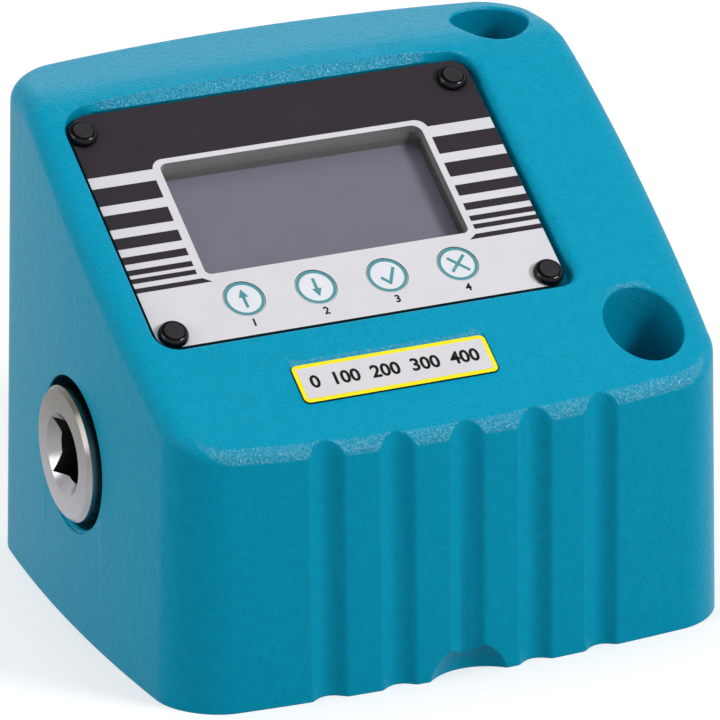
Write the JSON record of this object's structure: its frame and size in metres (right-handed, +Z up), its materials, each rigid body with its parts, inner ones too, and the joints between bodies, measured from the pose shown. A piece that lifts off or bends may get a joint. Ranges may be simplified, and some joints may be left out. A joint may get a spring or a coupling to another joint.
{
  "type": "electronic torque tester",
  "caption": "Bench torque tester: a cast wedge housing with a sloping facia, a display, round keys, a square drive socket in its left side and bolt holes down its right side.",
  "frame": {"origin": "middle of the underside, on the surface that the tester stands on", "axes": "+Z up; -X out of the drive socket; -Y out of the fluted front, towards the user"},
  "size_m": [0.1374, 0.12, 0.1109],
  "materials": {
    "housing": "textured semi-gloss turquoise paint",
    "base_plate": "zinc plated",
    "screws": "zinc plated",
    "facia": "printed in black and bluish white",
    "rivets": "glossy black",
    "lens": "clear",
    "display_frame": "matt black",
    "display_glass": "grey liquid crystal behind glass",
    "circuit_board": "green solder resist",
    "keys": "printed, satin",
    "switches": "matt black",
    "label": "printed, yellow border",
    "transducer": "turned",
    "sleeve": "matt",
    "inlet": "moulded black",
    "leads": "satin insulation"
  },
  "bodies": {
    "tester": {"housing": "housing", "base_plate": "base_plate", "base_screw_1": "screws", "base_screw_2": "screws", "base_screw_3": "screws", "base_screw_4": "screws", "facia_plate": "facia", "facia_rivet_1": "rivets", "facia_rivet_2": "rivets", "facia_rivet_3": "rivets", "facia_rivet_4": "rivets", "window_lens": "lens", "display_module": "display_frame", "display_glass": "display_glass", "circuit_board": "circuit_board", "board_screw_1": "screws", "board_screw_2": "screws", "board_screw_3": "screws", "board_screw_4": "screws", "key_switch_1": "switches", "key_switch_2": "switches", "key_switch_3": "switches", "key_switch_4": "switches", "range_label": "label", "torque_transducer": "transducer", "gauge_sleeve": "sleeve", "flange_screw_1": "screws", "flange_screw_2": "screws", "flange_screw_3": "screws", "flange_screw_4": "screws", "flange_screw_5": "screws", "flange_screw_6": "screws", "power_inlet": "inlet", "inlet_nut": "screws", "gauge_lead": "leads", "power_lead": "leads"},
    "up_key": {"key_up": "keys"},
    "down_key": {"key_down": "keys"},
    "accept_key": {"key_accept": "keys"},
    "clear_key": {"key_clear": "keys"}
  },
  "joints": [
    {"name": "up_key_press", "type": "slide", "parent": "tester", "child": "up_key", "axis": [0, 0.5159, -0.8566], "range_m": [0, 0.0004], "stiffness_N_per_m": 200},
    {"name": "down_key_press", "type": "slide", "parent": "tester", "child": "down_key", "axis": [0, 0.5159, -0.8566], "range_m": [0, 0.0004], "stiffness_N_per_m": 200},
    {"name": "accept_key_press", "type": "slide", "parent": "tester", "child": "accept_key", "axis": [0, 0.5159, -0.8566], "range_m": [0, 0.0004], "stiffness_N_per_m": 200},
    {"name": "clear_key_press", "type": "slide", "parent": "tester", "child": "clear_key", "axis": [0, 0.5159, -0.8566], "range_m": [0, 0.0004], "stiffness_N_per_m": 200}
  ]
}
